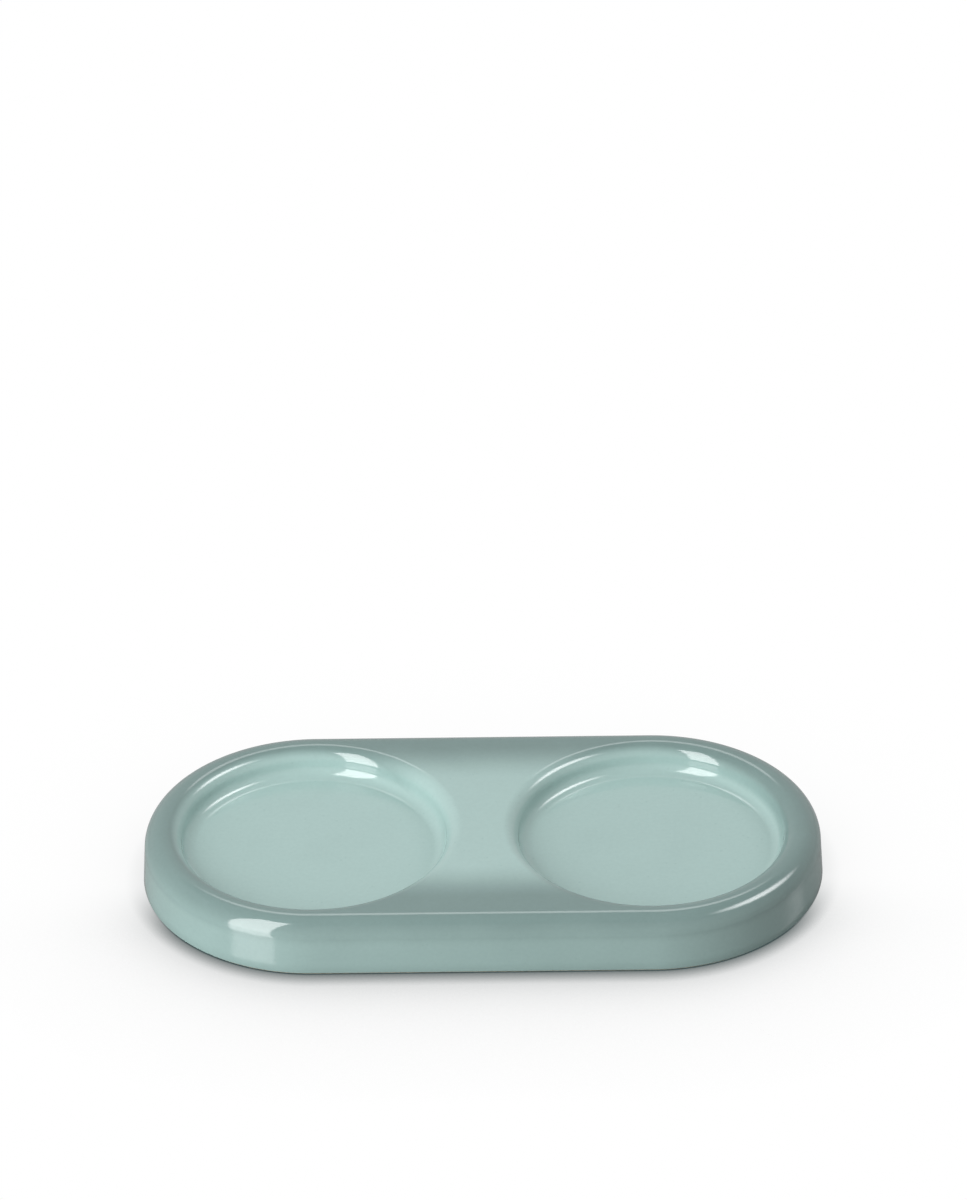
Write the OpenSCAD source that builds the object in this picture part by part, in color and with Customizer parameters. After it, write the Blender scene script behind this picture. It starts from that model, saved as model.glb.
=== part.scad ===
// Pepper mill tray: a stadium-shaped glazed stoneware tray with a round well for each of two mills.
// Millimetres. +Z is up, +X runs along the tray and -Y is its front.
// The origin is the middle of the foot, on the table.
// The clay body and its glaze are drawn from the same sections, the clay set back by the glaze.

/* [Wells] */
// Diameter of the flat floor that a mill stands on
floor_d = 65; // [56:0.5:70]
// Distance between the centres of the two wells
well_pitch = 92; // [88:0.5:120]
// Depth of a well below the rim
well_depth = 7.5; // [7:0.1:10]
// Radius of the rounding where the rim turns down into a well
lip_r = 4.2; // [2:0.1:4.6]
// Radius of the hollow between a well's wall and its floor
fillet_r = 3.7; // [1.5:0.1:4.1]
// Slope of a well's wall where it is steepest, in degrees
wall_slope = 82; // [65:1:84]

/* [Rim and outer wall] */
// Height of the rim above the table
tray_h = 16.2; // [14:0.1:24]
// Narrowest flat on top of the rim, between a lip and the round-over
rim_land = 0.4; // [0.2:0.1:6]
// Radius of the round-over between the rim and the outer wall
round_over = 5.5; // [2:0.1:8]
// Outward lean of the outer wall towards the foot, in degrees
draft = 2.9; // [0:0.1:8]

/* [Underside] */
// Width of the bare ring that the tray stands on
foot_width = 6; // [3:0.5:12]
// Bevel on the outer edge of the foot
foot_bevel = 0.3; // [0.2:0.05:0.4]
// Depth of the hollow inside the foot ring
hollow_depth = 2; // [1:0.1:3]
// Lean of the hollow's side away from upright, in degrees
hollow_lean = 35; // [10:1:60]

/* [Glaze] */
// Thickness of the glaze
glaze = 0.4; // [0.2:0.05:0.6]
// Height of the wiped band above the table where the clay is bare
bare_band = 0.5; // [0.45:0.05:1.2]

/* [Hidden] */
$fn = 96;

// How far a cutting shape reaches past the face that it opens
clear_cut = 1;
clay_colour = [0.84, 0.78, 0.68];
coat_colour = [0.62, 0.73, 0.71];
underside_colour = [0.66, 0.76, 0.74];

// Height of a well's straight wall, left over between its two arcs, and how far the lip stands out past the floor
wall_rise = well_depth - (lip_r + fillet_r) * (1 - cos(wall_slope));
wall_run = (lip_r + fillet_r) * sin(wall_slope) + wall_rise / tan(wall_slope);
// Centres of the arcs of a well's section, from its axis: the lip's and the fillet's
lip_centre = [floor_d / 2 + wall_run, tray_h - lip_r];
fillet_centre = [floor_d / 2, tray_h - well_depth + fillet_r];

// Centre of the round-over's arc and the half width of the tray at the table
round_centre = [lip_centre.x + rim_land, tray_h - round_over];
lean_top = round_centre + round_over * [cos(draft), sin(draft)];
foot_r = lean_top.x + lean_top.y * tan(draft);
// Half width of the hollow's mouth and its height in the clay
hollow_r = foot_r - glaze / cos(draft) - foot_bevel - foot_width;
hollow_top = hollow_depth + glaze;

// Half section of the tray without its wells, set back from the surface by inset
module outer_section(inset) {
    wall_r = foot_r - inset / cos(draft);
    polygon([
        [0, 0],
        [wall_r - foot_bevel, 0],
        [wall_r - foot_bevel * tan(draft), foot_bevel],
        round_centre + (round_over - inset) * [cos(draft), sin(draft)],
        [round_centre.x, tray_h - inset],
        [0, tray_h - inset],
    ]);
    translate(round_centre) circle(round_over - inset);
}

// Half section of the space in a well, widened by inset: floor, fillet, wall and lip run into each other
module well_section(inset) {
    wall_normal = [-sin(wall_slope), cos(wall_slope)];
    difference() {
        union() {
            polygon([
                [0, fillet_centre.y - fillet_r - inset],
                [fillet_centre.x, fillet_centre.y - fillet_r - inset],
                fillet_centre - (fillet_r + inset) * wall_normal,
                lip_centre + (lip_r - inset) * wall_normal,
                [lip_centre.x, tray_h - inset],
                [lip_centre.x, tray_h + clear_cut],
                [0, tray_h + clear_cut],
            ]);
            translate(fillet_centre) circle(fillet_r + inset);
        }
        translate(lip_centre) circle(lip_r - inset);
    }
}

// Half section of the hollow under the tray, narrowed by inset
module hollow_section(inset) {
    mouth_r = hollow_r - inset / cos(hollow_lean);
    top = hollow_top - inset;
    polygon([
        [0, -clear_cut],
        [mouth_r + clear_cut * tan(hollow_lean), -clear_cut],
        [mouth_r - top * tan(hollow_lean), top],
        [0, top],
    ]);
}

// Carries a half section round the stadium: a half turn about each well's axis and a straight run between
module round_the_stadium() {
    for (side = [-1, 1]) {
        translate([side * well_pitch / 2, 0, 0])
            rotate(-90 * side)
                rotate_extrude(angle = 180) children();
    }
    rotate([90, 0, 90])
        linear_extrude(well_pitch, center = true) {
            children();
            mirror([1, 0]) children();
        }
}

// The tray's solid form with its wells, set back from the surface by inset
module tray_form(inset) {
    difference() {
        round_the_stadium() outer_section(inset);
        for (side = [-1, 1]) {
            translate([side * well_pitch / 2, 0, 0])
                rotate_extrude() well_section(inset);
        }
    }
}

// Block that takes in everything below the top of the wiped band
module below_band() {
    size = [well_pitch + 3 * foot_r, 3 * foot_r, bare_band + clear_cut];
    translate([0, 0, (bare_band - clear_cut) / 2]) cube(size, center = true);
}

module stoneware_body() {
    color(clay_colour)
        difference() {
            tray_form(glaze);
            round_the_stadium() hollow_section(0);
        }
}

module glaze_coat() {
    color(coat_colour)
        difference() {
            tray_form(0);
            tray_form(glaze);
            below_band();
        }
}

module underside_glaze() {
    color(underside_colour)
        difference() {
            round_the_stadium() hollow_section(0);
            round_the_stadium() hollow_section(glaze);
            below_band();
        }
}

stoneware_body();
glaze_coat();
underside_glaze();
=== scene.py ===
"""Pepper mill tray: its glaze, its bare clay foot and its studio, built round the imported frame.

Laid out as an add-on and run as a script. Lengths are metres in the frame of the part: +Z is up, +X runs
along the tray and -Y is its front. A section is a row of (distance, height) points, a surface is a grid of
points with its faces, and every piece is the mesh of one or more surfaces.
"""

import math

import bpy
import numpy as np
from mathutils import Matrix, Vector


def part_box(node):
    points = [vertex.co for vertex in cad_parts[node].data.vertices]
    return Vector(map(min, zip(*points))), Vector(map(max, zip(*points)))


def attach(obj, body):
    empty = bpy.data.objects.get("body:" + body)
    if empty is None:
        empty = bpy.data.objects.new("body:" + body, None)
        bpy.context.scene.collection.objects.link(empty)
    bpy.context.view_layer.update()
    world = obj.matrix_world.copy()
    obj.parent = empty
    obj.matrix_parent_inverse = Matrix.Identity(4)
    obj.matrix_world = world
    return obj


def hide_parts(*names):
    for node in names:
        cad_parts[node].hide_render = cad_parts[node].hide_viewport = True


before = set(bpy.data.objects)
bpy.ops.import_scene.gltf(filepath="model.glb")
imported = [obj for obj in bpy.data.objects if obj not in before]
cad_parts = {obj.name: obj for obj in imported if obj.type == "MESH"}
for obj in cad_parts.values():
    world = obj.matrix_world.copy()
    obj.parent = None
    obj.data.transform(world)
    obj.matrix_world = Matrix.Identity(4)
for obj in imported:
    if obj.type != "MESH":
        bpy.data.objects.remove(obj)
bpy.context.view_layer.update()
COAT_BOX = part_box("glaze_coat")
LINING_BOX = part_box("underside_glaze")

bl_info = {
    "name": "Pepper Mill Tray",
    "version": (1, 0, 0),
    "blender": (4, 5, 0),
    "location": "3D View > Sidebar > Mill Tray",
    "description": "Builds a glazed stoneware tray for two mills and the studio it stands in",
    "category": "Object",
}

MM = 0.001
BODY = "root"

# Steps of the grids: along the straight, round the half turn and across the mid-line, then round an arc,
# a hidden arc, a bead and a soft corner
STRAIGHT_STEPS = 24
TURN_STEPS = 128
MID_STEPS = 56
ARC_STEPS = 24
HIDDEN_ARC_STEPS = 8
BEAD_STEPS = 6
CORNER_STEPS = 4
# Shares of a flat or straight stretch at which a grid has a row, close together where it meets an arc
FLAT_SHARES = np.array([0.0, 0.25, 0.5, 0.75, 0.94, 0.998, 1.0])
DECK_SHARES = np.array([0.01, 0.08, 0.25, 0.5, 0.75, 0.92, 0.99, 1.0])
# The clay's foot, in shares of its bevel: where the straight side ends and how far a soft corner reaches
SIDE_END = 1.5
SOFT_CORNER = 1 / 3
# Points along each edge of a flat stage piece, and the width of the table in metres
STAGE_POINTS = 3
TABLE_WIDTH = 12.0
# Width of the camera's sensor in millimetres, and how far it sees in metres
SENSOR_WIDTH = 36.0
VIEW_END = 100.0
# Types of the node groups' sockets, and white
NUMBER = "NodeSocketFloat"
COLOUR = "NodeSocketColor"
WHITE = (1.0, 1.0, 1.0, 1.0)
# Refractive index of the glossy glaze
GLAZE_IOR = 1.6
# Noises of the glaze and the clay: features per metre and levels of detail
GLAZE_CLOUDS = (60.0, 3.0)
GLAZE_GRAIN = (900.0, 2.0)
GLAZE_WAVES = (130.0, 1.0)
CLAY_BLOTCHES = (90.0, 4.0)
CLAY_PITS = (1800.0, 3.0)
# Spans that the noises cover: of the glaze's tone, of brightness and of roughness
TONE_DRIFT = (-0.1, 0.1)
GRAIN_SHADE = (0.96, 1.04)
CLAY_SHADE = (0.8, 1.15)
GLAZE_ROUGHNESS = (0.06, 0.1)
CLAY_ROUGHNESS = (0.75, 0.95)
# Height of the glaze's waves and depth of the clay's pits
WAVE_HEIGHT = 0.012 * MM
PIT_DEPTH = 0.1 * MM
# Specks in the glaze and grains in the clay: cells per metre, and the share of the cells that holds one
GLAZE_SPECKS = (800.0, 0.04)
CLAY_GRAINS = (1400.0, 0.25)
# Core and edge of a speck, as shares of its cell, and how much of its colour a speck in the glaze shows
SPECK_FADE = (0.12, 0.34)
SPECK_STRENGTH = 0.1
# Rays that the table sends out at a point to count its open sky
SKY_SAMPLES = 8
# Where the table begins to mirror and where it fully does, from nought straight on to one along the table
GLANCE = (0.33, 0.78)
# Core and edge of a lamp's light, as shares of its half width: even over a whole rectangle, or fading out
EVEN = (1.5, 2.0)
SOFT_FADE = (0.2, 1.0)
PANEL_FADE = (0.6, 1.0)
# Points closer than this are one point
WELD = 0.0001 * MM


def length(name, description, millimetres):
    """A property that holds a length, its default given in millimetres."""
    return bpy.props.FloatProperty(
        name=name, description=description, default=millimetres * MM, precision=5, unit="LENGTH"
    )


def turn(name, description, degrees):
    """A property that holds an angle, its default given in degrees."""
    return bpy.props.FloatProperty(
        name=name, description=description, default=math.radians(degrees), precision=3, subtype="ANGLE"
    )


def colour(name, description, red, green, blue):
    """A property that holds a colour in linear light."""
    return bpy.props.FloatVectorProperty(
        name=name, description=description, default=(red, green, blue), min=0.0, max=1.0, subtype="COLOR"
    )


def amount(name, description, value):
    """A property that holds a plain number."""
    return bpy.props.FloatProperty(name=name, description=description, default=value, min=0.0)


class TraySizes(bpy.types.PropertyGroup):
    """Sizes of the tray, the same as those of the solids."""

    tray_height: length("Tray height", "Height of the rim above the table", COAT_BOX[1].z / MM)
    well_pitch: length("Well pitch", "Distance between the centres of the two wells", 92)
    floor_width: length("Well floor", "Diameter of the flat floor that a mill stands on", 65)
    well_depth: length("Well depth", "Depth of a well below the rim", 7.5)
    lip_radius: length("Lip radius", "Rounding where the rim turns down into a well", 4.2)
    fillet_radius: length("Fillet radius", "Hollow between a well's wall and its floor", 3.7)
    wall_slope: turn("Wall slope", "Slope of a well's wall where it is steepest", 82)
    rim_land: length("Rim land", "Narrowest flat on top of the rim", 0.4)
    round_over: length("Round-over", "Rounding between the rim and the outer wall", 5.5)
    draft: turn("Draft", "Outward lean of the outer wall towards the foot", 2.9)
    glaze: length("Glaze", "Thickness of the glaze", 0.4)
    bare_band: length("Bare band", "Height of the wiped band above the table", COAT_BOX[0].z / MM)
    foot_width: length("Foot width", "Width of the ring that the tray stands on", 6)
    foot_bevel: length("Foot bevel", "Bevel on the outer edge of the foot", 0.3)
    hollow_top: length("Hollow height", "Height of the clay over the hollow", LINING_BOX[1].z / MM)
    hollow_lean: turn("Hollow lean", "Lean of the hollow's side away from upright", 35)


class GlazeLook(bpy.types.PropertyGroup):
    """Colours of the glaze and the clay, and where the glaze deepens, with painted light and shade in the
    wells.
    """

    pale: colour("Pale glaze", "Glaze in the wells and on the middle of the bridge", 0.375, 0.526, 0.501)
    deep: colour("Deep glaze", "Glaze on the rim and its round-over", 0.174, 0.26, 0.248)
    fleck: colour("Fleck", "Fine flecks under the glaze", 0.13, 0.2, 0.19)
    clay: colour("Clay", "Fired clay where no glaze covers it", 0.66, 0.57, 0.43)
    sand: colour("Sand", "Coarse grains in the fired clay", 0.34, 0.28, 0.2)
    pale_offset: length("Pale offset", "How far behind the spine the pale middle of the bridge lies", 2)
    # Painted light and shade: the wells' pale middles lie left of their axes, paler on walls that face right
    painted_light_shift: length("Pale left", "How far to the left of the wells' axes their pale middles lie", 1.1)
    bridge_start: length("Bridge start", "Distance from the pale middle where the glaze starts to deepen", 20)
    bridge_end: length("Bridge end", "Distance from the pale middle where the glaze is at its deepest", 37)
    well_start: length("Well start", "Distance from its pale middle where a well starts to deepen", 36)
    well_end: length("Well end", "Distance from its pale middle where a well is deepest in tone", 38.8)
    # Painted shade: the tone darkens a little sooner towards the tray's ends than at its sides
    painted_end_shade: amount("End share", "How much sooner the glaze deepens at the ends than at the sides", 1.01)
    wall_start: length("Wall start", "Height on the outer wall where the glaze starts to deepen", 8.5)
    wall_end: length("Wall end", "Height on the outer wall where the glaze is at its deepest", 15.5)
    wall_tone: amount("Wall tone", "Depth of the glaze low on the outer wall, from pale to deep", 0.35)
    lining_tone: amount("Lining tone", "Depth of the glaze in the hollow, from pale to deep", 0.35)


class StudioLook(bpy.types.PropertyGroup):
    """Camera, lamps and table of the studio."""

    lens: length("Lens", "Focal length for a 36 mm sensor on the long side", 300)
    camera_distance: length("Camera distance", "Distance from the tray's origin to the camera", 2737.57)
    camera_azimuth: turn("Camera azimuth", "Turn of the camera from straight in front", 0.4189)
    camera_elevation: turn("Camera elevation", "Height of the camera over the table", 35.0271)
    camera_roll: turn("Camera roll", "Roll of the camera about its axis", -0.867)
    aim_right: length("Aim right", "Distance from the origin to the aim, to the camera's right", 1.2462)
    aim_up: length("Aim up", "Distance from the origin to the aim, upwards in the picture", 74.8607)
    box_light: amount("Softbox light", "Radiance of the tall softbox in front on the left", 7.5)
    box_azimuth: turn("Softbox azimuth", "Turn of the softbox from straight in front, towards +X", -42.6)
    box_lean: turn("Softbox lean", "Lean of the softbox over the table", 7)
    box_distance: length("Softbox distance", "Distance from the tray to the foot of the softbox", 720)
    box_width: length("Softbox width", "Width of the softbox", 326)
    box_height: length("Softbox height", "Height of the softbox", 1154)
    lamp_distance: length("Lamp distance", "Distance from the tray to the lamps that hang over it", 1300)
    umbrella_light: amount("Umbrella light", "Radiance of the umbrella over the right, at its middle", 9.5)
    umbrella_azimuth: turn("Umbrella azimuth", "Turn of the umbrella from straight in front, towards +X", 93)
    umbrella_elevation: turn("Umbrella elevation", "Height of the umbrella over the table", 46)
    umbrella_roll: turn("Umbrella roll", "Roll of the umbrella about its axis", -35)
    umbrella_width: length("Umbrella width", "Longer width of the umbrella's light", 1470)
    umbrella_height: length("Umbrella height", "Shorter width of the umbrella's light", 620)
    panel_light: amount("Panel light", "Radiance of the panel over the back, at its middle", 3)
    panel_azimuth: turn("Panel azimuth", "Turn of the panel from straight in front, towards +X", 180)
    panel_elevation: turn("Panel elevation", "Height of the panel over the table", 51)
    panel_width: length("Panel width", "Width of the panel", 800)
    panel_height: length("Panel height", "Height of the panel", 430)
    fill_light: amount("Fill light", "Radiance of the fill over the right, at its middle", 3.6)
    fill_azimuth: turn("Fill azimuth", "Turn of the fill from straight in front, towards +X", 108)
    fill_elevation: turn("Fill elevation", "Height of the fill over the table", 40)
    fill_width: length("Fill width", "Width of the fill", 1500)
    fill_height: length("Fill height", "Height of the fill", 750)
    ceiling_light: amount("Ceiling light", "Radiance of the ceiling over the tray", 0.5)
    ceiling_width: length("Ceiling width", "Width of the lit square of the ceiling", 2000)
    room_light: amount("Room", "Radiance of the room in soft light", 0.37)
    room_share: amount("Room share", "How far towards white the room looks in reflections", 0.6)
    table: colour("Table", "Colour of the table in soft light", 0.25, 0.25, 0.25)
    table_share: amount("Table share", "How far towards white the table looks in reflections", 0.15)
    table_blur: amount("Table blur", "Roughness of what the table mirrors", 0.15)
    # Painted shadow on the table: its darkest colour, a little green, and where and how far it reaches
    shadow: colour("Shadow", "Colour of the darkest shadow on the table", 0.04, 0.07, 0.07)
    shadow_reach: length("Shadow reach", "How far from the tray its soft shadow reaches", 60)
    shadow_front: length("Shadow front", "Place along Y up to which the shadow is full", -30)
    shadow_back: length("Shadow back", "Place along Y from which the shadow is faint", -2)
    shadow_rest: amount("Shadow rest", "Share of the shadow that is left behind the tray", 0.2)
    contact_reach: length("Contact reach", "How far from the foot its dark contact line reaches", 5.5)
    contact_depth: amount("Contact depth", "How fast the contact line darkens towards the foot", 1.8)


class Form:
    """Arcs' centres and half widths that follow from the tray's sizes."""

    def __init__(self, sizes):
        self.sizes = sizes
        slope = sizes.wall_slope
        arcs = sizes.lip_radius + sizes.fillet_radius
        wall_rise = sizes.well_depth - arcs * (1 - math.cos(slope))
        wall_run = arcs * math.sin(slope) + wall_rise / math.tan(slope)
        self.top = sizes.tray_height
        self.half_pitch = sizes.well_pitch / 2
        self.floor = sizes.floor_width / 2
        self.lip = self.floor + wall_run
        self.land = self.lip + sizes.rim_land
        self.fillet_height = self.top - sizes.well_depth + sizes.fillet_radius
        self.lip_height = self.top - sizes.lip_radius
        self.round_height = self.top - sizes.round_over
        lean_height = self.round_height + sizes.round_over * math.sin(sizes.draft)
        lean_width = self.land + sizes.round_over * math.cos(sizes.draft)
        self.foot = lean_width + lean_height * math.tan(sizes.draft)
        self.set_back = sizes.glaze / math.cos(sizes.draft)
        self.foot_edge = self.foot - self.set_back - sizes.foot_bevel
        self.mouth = self.foot_edge - sizes.foot_width

    def wall(self, height, inset):
        """Half width of the outer wall at a height, set in by inset: it leans out evenly to the foot."""
        return self.foot - inset / math.cos(self.sizes.draft) - height * math.tan(self.sizes.draft)


def arc(distance, height, radius, start, end, steps):
    """Points of a circle: its centre plus the radius times the sine and cosine of an angle from upright."""
    angle = np.linspace(start, end, steps + 1)
    return np.stack([distance + radius * np.sin(angle), height + radius * np.cos(angle)], axis=1)


def stretch(start, end, shares):
    """Points of a straight line at the given shares of the way from its start to its end."""
    start = np.array(start)
    return start + shares[:, None] * (np.array(end) - start)


def corner(before, point, after, size):
    """A corner softened into a quadratic curve that leaves and meets its sides at a distance of size."""
    before, point, after = np.array(before), np.array(point), np.array(after)
    start = point + size * (before - point) / np.linalg.norm(before - point)
    end = point + size * (after - point) / np.linalg.norm(after - point)
    t = np.linspace(0, 1, CORNER_STEPS + 1)[:, None]
    return (1 - t) ** 2 * start + 2 * t * (1 - t) * point + t**2 * end


def well_section(form, inset, steps):
    """Half section of a well, set in by inset: floor, hollow arc, short wall and lip arc, each tangent."""
    sizes = form.sizes
    floor_height = form.top - sizes.well_depth - inset
    floor = stretch((0, floor_height), (form.floor, floor_height), FLAT_SHARES)
    hollow_radius = sizes.fillet_radius + inset
    hollow = arc(form.floor, form.fillet_height, hollow_radius, math.pi, math.pi - sizes.wall_slope, steps)
    lip = arc(form.lip, form.lip_height, sizes.lip_radius - inset, -sizes.wall_slope, 0, steps)
    return np.concatenate([floor[:-1], hollow, lip])


def side_section(form, inset, lowest, steps):
    """Half section of the round-over and the outer wall, set in by inset, from the rim down to a height."""
    sizes = form.sizes
    bend_radius = sizes.round_over - inset
    bend = arc(form.land, form.round_height, bend_radius, 0, math.pi / 2 - sizes.draft, steps)
    wall = stretch(bend[-1], (form.wall(lowest, inset), lowest), 1 - FLAT_SHARES[::-1])
    return np.concatenate([bend, wall[1:]])


def bead(outer, height, radius):
    """Half circle under an edge of the glaze, from its outer side at a height round to its inner side."""
    return arc(outer - radius, height, radius, math.pi / 2, 1.5 * math.pi, BEAD_STEPS)


def coat_section(form):
    """Half section of the coat's edge: down the outside, round a bead over the bare band, up the inside."""
    sizes = form.sizes
    bead_radius = form.set_back / 2
    lowest = sizes.bare_band + bead_radius
    outside = side_section(form, 0, lowest, ARC_STEPS)
    inside = side_section(form, sizes.glaze, lowest, HIDDEN_ARC_STEPS)
    edge = bead(form.wall(lowest, 0), lowest, bead_radius)
    return np.concatenate([outside, edge[1:-1], inside[::-1]])


def clay_section(form):
    """Half section of the clay from the rim down its outside, under the foot ring and over the hollow."""
    sizes = form.sizes
    bevel_top = (form.wall(sizes.foot_bevel, sizes.glaze), sizes.foot_bevel)
    foot_edge = (form.foot_edge, 0)
    mouth = (form.mouth, 0)
    shoulder = (form.mouth - sizes.hollow_top * math.tan(sizes.hollow_lean), sizes.hollow_top)
    side = side_section(form, sizes.glaze, sizes.foot_bevel * SIDE_END, HIDDEN_ARC_STEPS)
    soft = sizes.foot_bevel * SOFT_CORNER
    return np.concatenate([
        side,
        corner(side[-1], bevel_top, foot_edge, soft),
        corner(bevel_top, foot_edge, mouth, soft),
        corner(foot_edge, mouth, shoulder, soft),
        corner(mouth, shoulder, (0, sizes.hollow_top), soft),
        [(0, sizes.hollow_top)],
    ])


def lining_section(form):
    """Half section of the glaze in the hollow: its back on the clay, a bead at the band and its face."""
    sizes = form.sizes
    slant = math.tan(sizes.hollow_lean)
    thick = sizes.glaze / math.cos(sizes.hollow_lean)
    bead_radius = thick / 2
    lowest = sizes.bare_band + bead_radius
    back_foot = (form.mouth - lowest * slant, lowest)
    back_shoulder = (form.mouth - sizes.hollow_top * slant, sizes.hollow_top)
    face_height = sizes.hollow_top - sizes.glaze
    face_foot = (back_foot[0] - thick, lowest)
    face_shoulder = (form.mouth - thick - face_height * slant, face_height)
    return np.concatenate([
        [(0, sizes.hollow_top), back_shoulder],
        bead(back_foot[0], lowest, bead_radius),
        corner(face_foot, face_shoulder, (0, face_height), sizes.glaze),
        stretch(face_shoulder, (0, face_height), FLAT_SHARES)[1:],
    ])


def half_columns(form):
    """Ends of the columns on the right half of the flat top, counter-clockwise from the middle of its front.

    They follow the front straight, the half turn and the rear straight at the land's distance from the
    spine, then come back along the mid-line. The second array holds the point of the spine that each
    belongs to and the count says how many of them lie on the stadium.
    """
    along = np.linspace(0, form.half_pitch, STRAIGHT_STEPS + 1)
    angle = np.linspace(-math.pi / 2, math.pi / 2, TURN_STEPS + 1)[1:-1]
    across = np.linspace(form.land, -form.land, MID_STEPS + 1)[1:-1]
    front = np.stack([along, np.full_like(along, -form.land)], axis=1)
    half_turn = np.stack([form.half_pitch + form.land * np.cos(angle), form.land * np.sin(angle)], axis=1)
    rear = front[::-1] * (1, -1)
    mid_line = np.stack([np.zeros_like(across), across], axis=1)
    ends = np.concatenate([front, half_turn, rear, mid_line])
    spine = np.stack([np.minimum(ends[:, 0], form.half_pitch), np.zeros(len(ends))], axis=1)
    return ends, spine, len(ends) - len(mid_line)


def grid_faces(rows, columns, closed):
    """Quads of a grid whose points run row by row; a closed grid joins its last column to its first."""
    row = np.arange(rows - 1)[:, None] * columns
    column = np.arange(columns if closed else columns - 1)[None, :]
    beside = (column + 1) % columns
    quads = np.stack([row + column, row + columns + column, row + columns + beside, row + beside], axis=-1)
    return quads.reshape(-1, 4)


def raise_rows(flat, heights):
    """A grid of plan points lifted row by row to the given heights, as a list of points."""
    lift = np.broadcast_to(heights[:, None, None], flat.shape[:2] + (1,))
    return np.concatenate([flat, lift], axis=2).reshape(-1, 3)


def top_surface(form, inset, steps):
    """Well and flat top of the right half, set in by inset.

    A point is the well's centre plus a distance along the ray to a column's end: the distances and heights
    of the well's section first, then shares of what is left of the ray at the height of the rim.
    """
    ends, _, _ = half_columns(form)
    centre = np.array([form.half_pitch, 0.0])
    reach = np.linalg.norm(ends - centre, axis=1)
    ray = (ends - centre) / reach[:, None]
    section = well_section(form, inset, steps)
    deck = form.lip + DECK_SHARES[:, None] * (reach - form.lip)
    distance = np.concatenate([np.repeat(section[:, :1], len(ends), axis=1), deck])
    heights = np.concatenate([section[:, 1], np.full(len(deck), form.top - inset)])
    points = raise_rows(centre + distance[..., None] * ray, heights)
    return points, grid_faces(len(heights), len(ends), True)


def swept_surface(form, section):
    """A half section carried round the right half: a spine point plus the distance times its way out."""
    ends, spine, count = half_columns(form)
    outwards = (ends - spine)[:count] / form.land
    flat = spine[:count] + section[:, 0, None, None] * outwards
    return raise_rows(flat, section[:, 1]), grid_faces(len(section), count, False)


def turned_inside(surface):
    """The same surface seen from its other side: every face runs the other way round."""
    points, faces = surface
    return points, faces[:, ::-1]


def joined(*surfaces):
    """Surfaces as one list of points and faces, each one's faces counted on from the last one's points."""
    starts = np.cumsum([0] + [len(points) for points, _ in surfaces])
    points = np.concatenate([points for points, _ in surfaces])
    faces = np.concatenate([faces + start for (_, faces), start in zip(surfaces, starts)])
    return points, faces


def both_halves(surface):
    """A right half and its mirror image in the mid-plane, whose faces run the other way round."""
    points, faces = surface
    return joined(surface, turned_inside((points * (-1, 1, 1), faces)))


def welded(surface):
    """Merges points that coincide; a quad that loses a corner turns into a triangle."""
    points, faces = surface
    _, first, index = np.unique(np.round(points / WELD), axis=0, return_index=True, return_inverse=True)
    faces = index.reshape(-1)[faces]
    same = faces == np.roll(faces, -1, axis=1)
    quads = faces[same.sum(axis=1) == 0]
    lost = same.sum(axis=1) == 1
    kept = (same[lost].argmax(axis=1)[:, None] + np.arange(1, 4)) % 4
    triangles = np.take_along_axis(faces[lost], kept, axis=1)
    return points[first], quads.tolist() + triangles.tolist()


def add_piece(name, surface, material, node):
    """Makes a smooth piece of a right half surface, which stands for a CAD node and rides on the body."""
    points, faces = welded(both_halves(surface))
    mesh = bpy.data.meshes.new(name)
    mesh.from_pydata(points, [], faces)
    mesh.polygons.foreach_set("use_smooth", np.ones(len(mesh.polygons), dtype=bool))
    mesh.materials.append(material)
    mesh.update()
    piece = bpy.data.objects.new(name, mesh)
    bpy.context.scene.collection.objects.link(piece)
    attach(piece, BODY)
    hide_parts(node)


def add_node(tree, kind, links=None, **values):
    """Adds a shader node, sets its options and its sockets' values and links the sockets that are given."""
    node = tree.nodes.new(kind)
    for name, value in values.items():
        setattr(node, name, value)
    for socket, source in (links or {}).items():
        if isinstance(source, bpy.types.NodeSocket):
            tree.links.new(source, node.inputs[socket])
        else:
            node.inputs[socket].default_value = source
    return node


def add_math(tree, operation, first, second=0.0, **values):
    """The result of an operation on one or two numbers."""
    return add_node(tree, "ShaderNodeMath", {0: first, 1: second}, operation=operation, **values).outputs[0]


def add_product(tree, first, second):
    """Two vectors or colours multiplied part by part."""
    return add_node(tree, "ShaderNodeVectorMath", {0: first, 1: second}, operation="MULTIPLY").outputs[0]


def add_length(tree, vector):
    """How long a vector is."""
    return add_node(tree, "ShaderNodeVectorMath", {0: vector}, operation="LENGTH").outputs["Value"]


def add_range(tree, share, span):
    """A number that lies in a span as far along as the share lies between nought and one."""
    low, high = span
    links = {"Value": share, "To Min": low, "To Max": high}
    return add_node(tree, "ShaderNodeMapRange", links).outputs["Result"]


def add_smooth_step(tree, value, start, end, low=0.0, high=1.0):
    """A number that eases from low, where the value is at the start, to high, where it is at the end."""
    links = {"Value": value, "From Min": start, "From Max": end, "To Min": low, "To Max": high}
    return add_node(tree, "ShaderNodeMapRange", links, interpolation_type="SMOOTHSTEP").outputs["Result"]


def add_colour_mix(tree, share, first, second):
    """The first colour, with a share of the second in its place."""
    # A Mix node's sockets share their names, so its colours and their result go by place
    links = {"Factor": share, 6: first, 7: second}
    return add_node(tree, "ShaderNodeMix", links, data_type="RGBA").outputs[2]


def add_shader_mix(tree, share, first, second):
    """The first shader node, with a share of the second in its place."""
    return add_node(tree, "ShaderNodeMixShader", {0: share, 1: first.outputs[0], 2: second.outputs[0]})


def object_place(tree):
    """Where a point lies in its object's own frame."""
    return add_node(tree, "ShaderNodeTexCoord").outputs["Object"]


def place_parts(tree):
    """The X, Y and Z of a point in its object's own frame."""
    return add_node(tree, "ShaderNodeSeparateXYZ", {"Vector": object_place(tree)}).outputs


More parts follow.
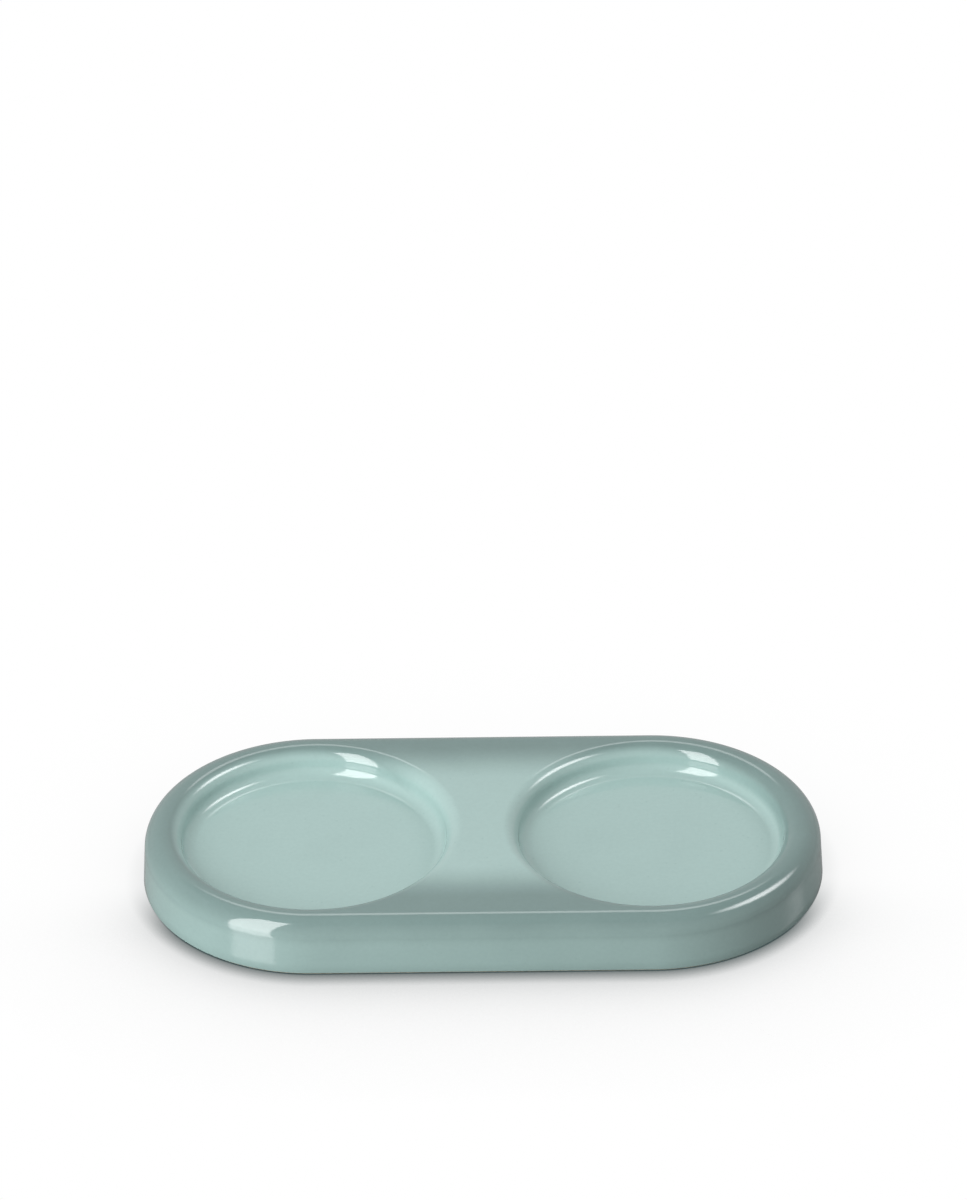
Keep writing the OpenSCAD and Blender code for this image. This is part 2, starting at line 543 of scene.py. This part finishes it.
def plan_distance(tree, along, across):
    """The straight distance that two lengths at right angles make in plan."""
    return add_length(tree, add_node(tree, "ShaderNodeCombineXYZ", {"X": along, "Y": across}).outputs[0])


def add_noise(tree, noise):
    """Noise of a given scale and detail, from nought to one."""
    scale, detail = noise
    links = {"Vector": object_place(tree), "Scale": scale, "Detail": detail}
    return add_node(tree, "ShaderNodeTexNoise", links).outputs["Fac"]


def add_specks(tree, flecks, specks):
    """The mask of scattered specks, whose cells have a given scale and of which a given share holds one."""
    scale, share = specks
    links = {"Scale": scale, "Share": share}
    return add_node(tree, "ShaderNodeGroup", links, node_tree=flecks).outputs["Mask"]


def new_group(name, inputs, outputs):
    """A shader node group with named sockets, each given with its type."""
    group = bpy.data.node_groups.new(name, "ShaderNodeTree")
    for way, sockets in (("INPUT", inputs), ("OUTPUT", outputs)):
        for label, kind in sockets.items():
            group.interface.new_socket(label, in_out=way, socket_type=kind)
    entry = group.nodes.new("NodeGroupInput")
    leave = group.nodes.new("NodeGroupOutput")
    return group, entry.outputs, leave.inputs


def fleck_group():
    """Scattered specks: cells of a given scale, of which a share holds a round speck at its middle."""
    group, entry, leave = new_group("Flecks", {"Scale": NUMBER, "Share": NUMBER}, {"Mask": NUMBER})
    cells = add_node(group, "ShaderNodeTexVoronoi", {"Vector": object_place(group), "Scale": entry["Scale"]})
    pick = add_node(group, "ShaderNodeSeparateColor", {"Color": cells.outputs["Color"]})
    chosen = add_math(group, "LESS_THAN", pick.outputs["Red"], entry["Share"])
    speck = add_smooth_step(group, cells.outputs["Distance"], *SPECK_FADE, 1.0, 0.0)
    group.links.new(add_math(group, "MULTIPLY", chosen, speck), leave["Mask"])
    return group


def glaze_group(flecks):
    """Glaze over clay: colour by depth, clouded and finely flecked, with its gloss and its slow waves."""
    group, entry, leave = new_group(
        "Glaze",
        {"Pale": COLOUR, "Deep": COLOUR, "Fleck": COLOUR, "Tone": NUMBER},
        {"Colour": COLOUR, "Roughness": NUMBER, "Height": NUMBER},
    )
    clouds = add_noise(group, GLAZE_CLOUDS)
    drift = add_range(group, clouds, TONE_DRIFT)
    depth = add_math(group, "ADD", entry["Tone"], drift, use_clamp=True)
    ground = add_colour_mix(group, depth, entry["Pale"], entry["Deep"])
    grain = add_range(group, add_noise(group, GLAZE_GRAIN), GRAIN_SHADE)
    faint = add_math(group, "MULTIPLY", add_specks(group, flecks, GLAZE_SPECKS), SPECK_STRENGTH)
    flecked = add_colour_mix(group, faint, add_product(group, ground, grain), entry["Fleck"])
    group.links.new(flecked, leave["Colour"])
    group.links.new(add_range(group, clouds, GLAZE_ROUGHNESS), leave["Roughness"])
    group.links.new(add_noise(group, GLAZE_WAVES), leave["Height"])
    return group


def new_material(name):
    """A new node material, with its tree and its shader."""
    material = bpy.data.materials.new(name)
    material.use_nodes = True
    tree = material.node_tree
    return material, tree, tree.nodes["Principled BSDF"]


def past_well(tree, along, form):
    """How far a place along the tray lies past a well's centre, and the same with nought for less."""
    past = add_math(tree, "SUBTRACT", add_math(tree, "ABSOLUTE", along), form.half_pitch)
    return past, add_math(tree, "MAXIMUM", past, 0.0)


def inside_rim(tree, form):
    """One inside the rim's crest, on the wells and the bridge, and nought on the round-over and the wall."""
    place = place_parts(tree)
    _, beyond = past_well(tree, place["X"], form)
    return add_math(tree, "LESS_THAN", plan_distance(tree, beyond, place["Y"]), form.land)


def glaze_depth(tree, form, look):
    """How deep the coat's colour is: the lesser of two smooth steps, times a third outside the rim.

    The first rises with the distance from a line a little behind the spine, over the bridge and the rim. The
    second rises with the distance from a point a little to the left of a well's axis, sooner at the ends, so
    that the wells stay pale; that shift and that sooner rise are painted light and shade, paler on the walls
    that face right and darker on those that face left and at the ends. The third rises up the outer wall to
    the rim.
    """
    place = place_parts(tree)
    past, beyond = past_well(tree, add_math(tree, "ADD", place["X"], look.painted_light_shift), form)
    behind = add_math(tree, "SUBTRACT", place["Y"], look.pale_offset)
    wider = add_math(tree, "MULTIPLY", past, look.painted_end_shade)
    bridge = add_smooth_step(tree, plan_distance(tree, beyond, behind), look.bridge_start, look.bridge_end)
    well = add_smooth_step(tree, plan_distance(tree, wider, place["Y"]), look.well_start, look.well_end)
    wall = add_smooth_step(tree, place["Z"], look.wall_start, look.wall_end, look.wall_tone)
    share = add_math(tree, "MAXIMUM", wall, inside_rim(tree, form))
    return add_math(tree, "MULTIPLY", add_math(tree, "MINIMUM", bridge, well), share)


def glaze_material(name, look, glaze, tone):
    """Glossy glaze: the glaze group drives its colour, gloss and waves."""
    material, tree, shader = new_material(name)
    finish = add_node(tree, "ShaderNodeGroup", {"Tone": tone}, node_tree=glaze)
    for label, tint in (("Pale", look.pale), ("Deep", look.deep), ("Fleck", look.fleck)):
        finish.inputs[label].default_value = (*tint, 1.0)
    waves = add_node(tree, "ShaderNodeBump", {"Height": finish.outputs["Height"], "Distance": WAVE_HEIGHT})
    tree.links.new(finish.outputs["Colour"], shader.inputs["Base Color"])
    tree.links.new(finish.outputs["Roughness"], shader.inputs["Roughness"])
    tree.links.new(waves.outputs["Normal"], shader.inputs["Normal"])
    shader.inputs["IOR"].default_value = GLAZE_IOR
    return material, tree, finish


def coat_material(form, look):
    """The coat's glaze, its tone set by its place on the tray."""
    material, tree, finish = glaze_material("sea_green_glaze", look, glaze_tree(), 0.0)
    tree.links.new(glaze_depth(tree, form, look), finish.inputs["Tone"])
    return material


def clay_material(name, look, flecks):
    """Bare fired stoneware: sandy colour with coarse grains, matte and slightly pitted."""
    material, tree, shader = new_material(name)
    pits = add_noise(tree, CLAY_PITS)
    shade = add_range(tree, add_noise(tree, CLAY_BLOTCHES), CLAY_SHADE)
    ground = add_product(tree, (*look.clay,), shade)
    sandy = add_colour_mix(tree, add_specks(tree, flecks, CLAY_GRAINS), ground, (*look.sand, 1.0))
    bump = add_node(tree, "ShaderNodeBump", {"Height": pits, "Distance": PIT_DEPTH})
    tree.links.new(sandy, shader.inputs["Base Color"])
    tree.links.new(add_range(tree, pits, CLAY_ROUGHNESS), shader.inputs["Roughness"])
    tree.links.new(bump.outputs["Normal"], shader.inputs["Normal"])
    return material


def shared(name, make):
    """The node group of that name, made on first use."""
    group = bpy.data.node_groups.get(name)
    return group or make()


def fleck_tree():
    """The group of scattered specks that the glaze and the clay share."""
    return shared("Flecks", fleck_group)


def glaze_tree():
    """The group that the coat and the lining of the hollow share."""
    return shared("Glaze", lambda: glaze_group(fleck_tree()))


def seen_rays(tree, share):
    """One for a ray from the eye or a clear surface, a share of it from a mirror, nought in soft light."""
    path = add_node(tree, "ShaderNodeLightPath").outputs
    plain = add_math(tree, "MAXIMUM", path["Is Camera Ray"], path["Is Transmission Ray"])
    mirrored = add_math(tree, "MULTIPLY", path["Is Glossy Ray"], share)
    return add_math(tree, "MAXIMUM", plain, mirrored)


def open_sky(tree, look):
    """The painted shadow of the tray on the table: a dark line at its foot times a soft shadow round it.

    Both count the open share of the sky, within a short and a long reach, and the line is a power of its
    share. They fade from the front to the back.
    """
    near, far = (
        add_node(tree, "ShaderNodeAmbientOcclusion", {"Distance": reach}, samples=SKY_SAMPLES).outputs["AO"]
        for reach in (look.contact_reach, look.shadow_reach)
    )
    full = add_math(tree, "MULTIPLY", add_math(tree, "POWER", near, look.contact_depth), far)
    across = place_parts(tree)["Y"]
    front = add_smooth_step(tree, across, look.shadow_front, look.shadow_back, 1.0, look.shadow_rest)
    # A Mix node's sockets share their names, so its numbers and their result go by place
    links = {"Factor": front, 2: 1.0, 3: full}
    return add_node(tree, "ShaderNodeMix", links, data_type="FLOAT").outputs[0]


def table_material(look):
    """Pale table: white to the eye but for the tray's shadow, painted into its glow, and darker in soft
    light.

    A reflection shows it a share of the way to that white, and a glancing one mirrors the lamps in it.
    """
    material, tree, shader = new_material("pale_table")
    tree.nodes.remove(shader)
    # Painted shadow: the table's white glow turns towards the shadow's colour where the tray hides its sky
    shade = add_colour_mix(tree, open_sky(tree, look), (*look.shadow, 1.0), WHITE)
    white = add_node(tree, "ShaderNodeEmission", {"Color": shade})
    matte = add_node(tree, "ShaderNodeBsdfDiffuse", {"Color": (*look.table, 1.0)})
    plain = add_shader_mix(tree, seen_rays(tree, look.table_share), matte, white)
    mirror = add_node(tree, "ShaderNodeBsdfGlossy", {"Roughness": look.table_blur})
    facing = add_node(tree, "ShaderNodeLayerWeight").outputs["Facing"]
    glossy = add_node(tree, "ShaderNodeLightPath").outputs["Is Glossy Ray"]
    glance = add_math(tree, "MULTIPLY", glossy, add_smooth_step(tree, facing, *GLANCE))
    both = add_shader_mix(tree, glance, plain, mirror)
    tree.links.new(both.outputs[0], tree.nodes["Material Output"].inputs["Surface"])
    return material


def add_stage_plane(name, width, height, material):
    """A flat stage piece about its own middle: a small square grid of points at height nought."""
    share = np.linspace(-0.5, 0.5, STAGE_POINTS)
    x, y = np.meshgrid(width * share, height * share)
    points = np.stack([x, y, np.zeros_like(x)], axis=-1).reshape(-1, 3)
    mesh = bpy.data.meshes.new(name)
    mesh.from_pydata(points, [], grid_faces(STAGE_POINTS, STAGE_POINTS, False)[:, ::-1].tolist())
    mesh.materials.append(material)
    plane = bpy.data.objects.new(name, mesh)
    bpy.context.scene.collection.objects.link(plane)
    return plane


def heading(azimuth, elevation):
    """Direction from the tray: azimuth from the front towards +X and elevation over the table."""
    level = math.cos(elevation)
    return Vector((math.sin(azimuth) * level, -math.cos(azimuth) * level, math.sin(elevation)))


def lamp_material(name, width, height, radiance, fade):
    """Light of a lamp's face, which clears from a core ellipse to an edge ellipse, in shares of its size."""
    material, tree, shader = new_material(name)
    tree.nodes.remove(shader)
    share = add_length(tree, add_product(tree, object_place(tree), (2 / width, 2 / height, 0.0)))
    glow = add_node(tree, "ShaderNodeEmission", {"Strength": radiance})
    clear = add_node(tree, "ShaderNodeBsdfTransparent")
    face = add_shader_mix(tree, add_smooth_step(tree, share, *fade), glow, clear)
    tree.links.new(face.outputs[0], tree.nodes["Material Output"].inputs["Surface"])
    return material


def add_lamp(name, place, back, side, size, radiance, fade):
    """A glowing rectangle at a place, its back turned away from the tray and its width along its side."""
    material = lamp_material(name + "_glow", *size, radiance, fade)
    lamp = add_stage_plane(name, *size, material)
    axes = Matrix((side, back.cross(side), back)).transposed().to_4x4()
    lamp.matrix_world = Matrix.Translation(place) @ axes
    lamp.visible_camera = False
    return lamp


def add_softbox(look):
    """A tall softbox that stands on the table in front on the left and leans over it a little."""
    back = heading(look.box_azimuth, look.box_lean)
    side = heading(look.box_azimuth + math.pi / 2, 0)
    foot = heading(look.box_azimuth, 0) * look.box_distance
    middle = foot + back.cross(side) * look.box_height / 2
    add_lamp("softbox", middle, back, side, (look.box_width, look.box_height), look.box_light, EVEN)


def add_overhead(name, look, azimuth, elevation, roll, size, radiance, fade):
    """A lamp at the lamps' distance on a heading from the tray, which it faces, rolled about its axis."""
    back = heading(azimuth, elevation)
    level = heading(azimuth + math.pi / 2, 0)
    side = level * math.cos(roll) + back.cross(level) * math.sin(roll)
    return add_lamp(name, back * look.lamp_distance, back, side, size, radiance, fade)


def add_overheads(look):
    """A long umbrella over the right, a fill beside it, a panel over the back and the ceiling.

    The umbrella is seen in reflections only, and the fill lights softly without being seen in them.
    """
    umbrella_size = (look.umbrella_width, look.umbrella_height)
    umbrella = add_overhead(
        "umbrella", look, look.umbrella_azimuth, look.umbrella_elevation, look.umbrella_roll, umbrella_size,
        look.umbrella_light, SOFT_FADE,
    )
    umbrella.visible_diffuse = False
    fill_size = (look.fill_width, look.fill_height)
    fill = add_overhead(
        "fill", look, look.fill_azimuth, look.fill_elevation, 0, fill_size, look.fill_light, SOFT_FADE
    )
    fill.visible_glossy = False
    panel_size = (look.panel_width, look.panel_height)
    add_overhead(
        "panel", look, look.panel_azimuth, look.panel_elevation, 0, panel_size, look.panel_light, PANEL_FADE
    )
    ceiling_size = (look.ceiling_width, look.ceiling_width)
    add_overhead("ceiling", look, 0, math.pi / 2, 0, ceiling_size, look.ceiling_light, EVEN)


def add_room(look):
    """A dim, even room in soft light, white to the eye and a share of the way to white in reflections."""
    world = bpy.data.worlds.new("studio")
    world.use_nodes = True
    tree = world.node_tree
    background = tree.nodes["Background"]
    background.inputs["Color"].default_value = WHITE
    level = add_range(tree, seen_rays(tree, look.room_share), (look.room_light, 1.0))
    tree.links.new(level, background.inputs["Strength"])
    bpy.context.scene.world = world


def add_camera(look):
    """A long lens in front, turned about its axis by the roll, aimed at a point above the tray."""
    away = heading(look.camera_azimuth, look.camera_elevation)
    level = Vector((math.cos(look.camera_azimuth), math.sin(look.camera_azimuth), 0))
    place = away * look.camera_distance
    aim = level * look.aim_right + away.cross(level) * look.aim_up
    ahead = (aim - place).normalized()
    side = ahead.cross(Vector((0, 0, 1))).normalized()
    up = side.cross(ahead)
    cosine, sine = math.cos(look.camera_roll), math.sin(look.camera_roll)
    rolled_side = side * cosine + up * sine
    rolled_up = up * cosine - side * sine
    camera = bpy.data.cameras.new("camera")
    camera.lens = look.lens / MM
    camera.sensor_width = SENSOR_WIDTH
    camera.clip_end = VIEW_END
    camera_object = bpy.data.objects.new("camera", camera)
    turn_matrix = Matrix((rolled_side, rolled_up, -ahead)).transposed().to_4x4()
    camera_object.matrix_world = Matrix.Translation(place) @ turn_matrix
    bpy.context.scene.collection.objects.link(camera_object)
    bpy.context.scene.camera = camera_object


class MILLTRAY_OT_glaze_coat(bpy.types.Operator):
    """Build the glaze over the wells, the rim and the outer wall"""

    bl_idname = "milltray.glaze_coat"
    bl_label = "Glaze Coat"

    def execute(self, context):
        form = Form(context.scene.tray_sizes)
        look = context.scene.tray_look
        coat = joined(
            top_surface(form, 0.0, ARC_STEPS),
            turned_inside(top_surface(form, form.sizes.glaze, HIDDEN_ARC_STEPS)),
            swept_surface(form, coat_section(form)),
        )
        add_piece("tray_glaze", coat, coat_material(form, look), "glaze_coat")
        return {"FINISHED"}


class MILLTRAY_OT_clay_body(bpy.types.Operator):
    """Build the fired clay with its bare foot ring and hollow"""

    bl_idname = "milltray.clay_body"
    bl_label = "Clay Body"

    def execute(self, context):
        form = Form(context.scene.tray_sizes)
        clay = joined(
            top_surface(form, form.sizes.glaze, HIDDEN_ARC_STEPS),
            swept_surface(form, clay_section(form)),
        )
        material = clay_material("bare_clay", context.scene.tray_look, fleck_tree())
        add_piece("tray_clay", clay, material, "stoneware_body")
        return {"FINISHED"}


class MILLTRAY_OT_hollow_lining(bpy.types.Operator):
    """Build the glaze inside the hollow under the tray"""

    bl_idname = "milltray.hollow_lining"
    bl_label = "Hollow Lining"

    def execute(self, context):
        form = Form(context.scene.tray_sizes)
        lining = swept_surface(form, lining_section(form))
        look = context.scene.tray_look
        material, *_ = glaze_material("underside_glaze", look, glaze_tree(), look.lining_tone)
        add_piece("hollow_glaze", lining, material, "underside_glaze")
        return {"FINISHED"}


class MILLTRAY_OT_studio(bpy.types.Operator):
    """Set up the table, the lamps, the room and the camera"""

    bl_idname = "milltray.studio"
    bl_label = "Studio"

    def execute(self, context):
        look = context.scene.tray_studio
        add_stage_plane("table", TABLE_WIDTH, TABLE_WIDTH, table_material(look))
        add_softbox(look)
        add_overheads(look)
        add_room(look)
        add_camera(look)
        context.scene.view_settings.view_transform = "Standard"
        return {"FINISHED"}


class MILLTRAY_PT_panel(bpy.types.Panel):
    """Lists the tray's pieces and its studio"""

    bl_idname = "MILLTRAY_PT_panel"
    bl_label = "Pepper Mill Tray"
    bl_space_type = "VIEW_3D"
    bl_region_type = "UI"
    bl_category = "Mill Tray"

    def draw(self, context):
        for operator in OPERATORS:
            self.layout.operator(operator.bl_idname)


OPERATORS = (
    MILLTRAY_OT_glaze_coat,
    MILLTRAY_OT_clay_body,
    MILLTRAY_OT_hollow_lining,
    MILLTRAY_OT_studio,
)
CLASSES = (TraySizes, GlazeLook, StudioLook, *OPERATORS, MILLTRAY_PT_panel)


def register():
    """Registers the classes and gives the scene its settings."""
    for cls in CLASSES:
        bpy.utils.register_class(cls)
    bpy.types.Scene.tray_sizes = bpy.props.PointerProperty(type=TraySizes)
    bpy.types.Scene.tray_look = bpy.props.PointerProperty(type=GlazeLook)
    bpy.types.Scene.tray_studio = bpy.props.PointerProperty(type=StudioLook)


def unregister():
    """Takes the settings and the classes away again."""
    del bpy.types.Scene.tray_studio
    del bpy.types.Scene.tray_look
    del bpy.types.Scene.tray_sizes
    for cls in reversed(CLASSES):
        bpy.utils.unregister_class(cls)


def main():
    """Builds the tray and its studio."""
    register()
    bpy.ops.milltray.glaze_coat()
    bpy.ops.milltray.clay_body()
    bpy.ops.milltray.hollow_lining()
    bpy.ops.milltray.studio()


if __name__ == "__main__":
    main()
